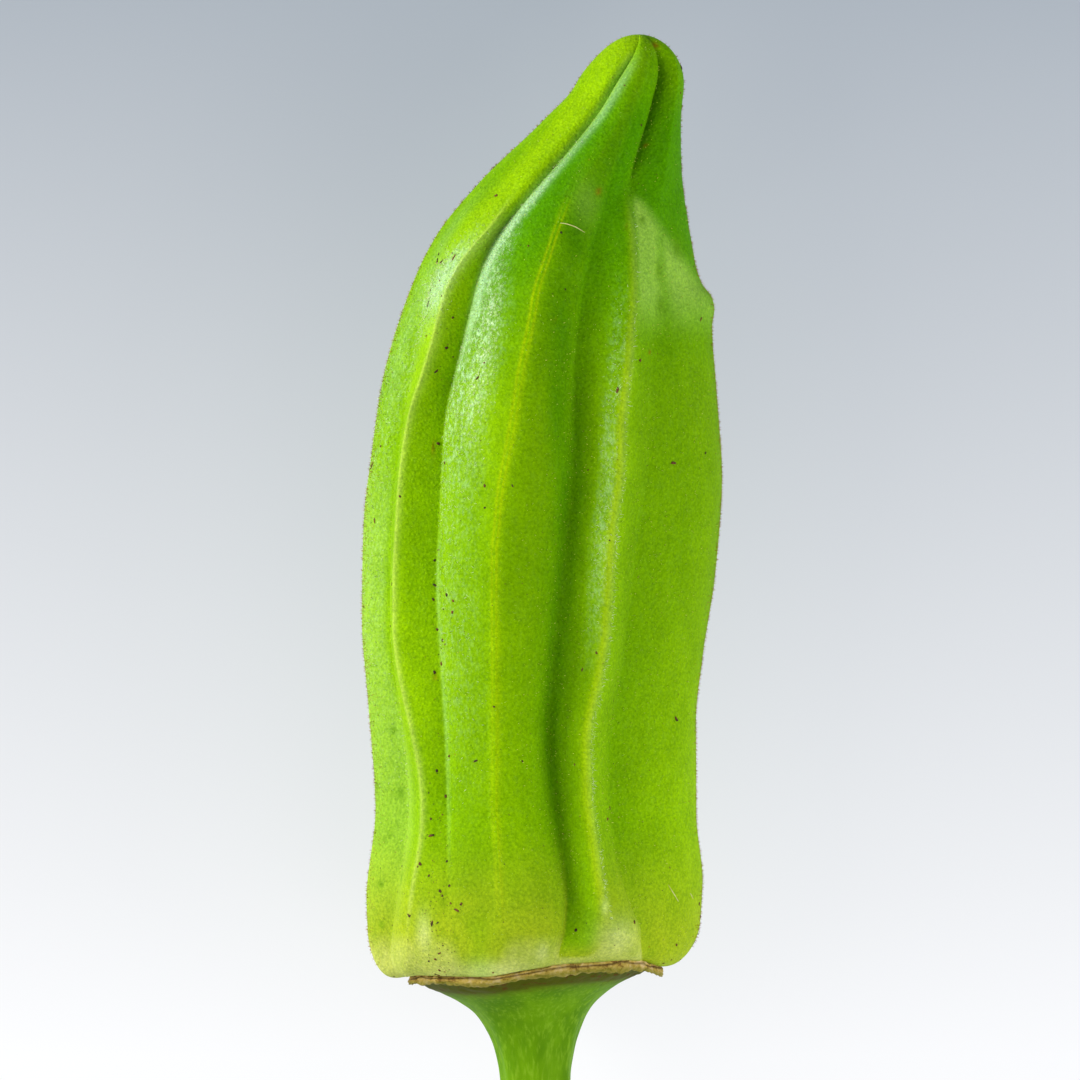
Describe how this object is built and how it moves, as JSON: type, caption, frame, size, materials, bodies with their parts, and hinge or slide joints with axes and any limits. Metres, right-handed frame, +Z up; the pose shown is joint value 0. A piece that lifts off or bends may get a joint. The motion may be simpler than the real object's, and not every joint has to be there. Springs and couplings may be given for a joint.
{
  "type": "okra pod",
  "caption": "Fat ribbed okra pod with a bent beak, corky scar ring, short cap and cut stalk, lying on its back.",
  "frame": {"origin": "on the resting plane under the middle of the pod's bounding box", "axes": "+Y from the stalk to the beak, +X to the beak's side of the pod as seen from above, +Z up"},
  "size_m": [0.0384, 0.1204, 0.0364],
  "materials": {
    "skin": null
  },
  "bodies": {
    "root": {"okra_pod": "skin"}
  },
  "joints": []
}
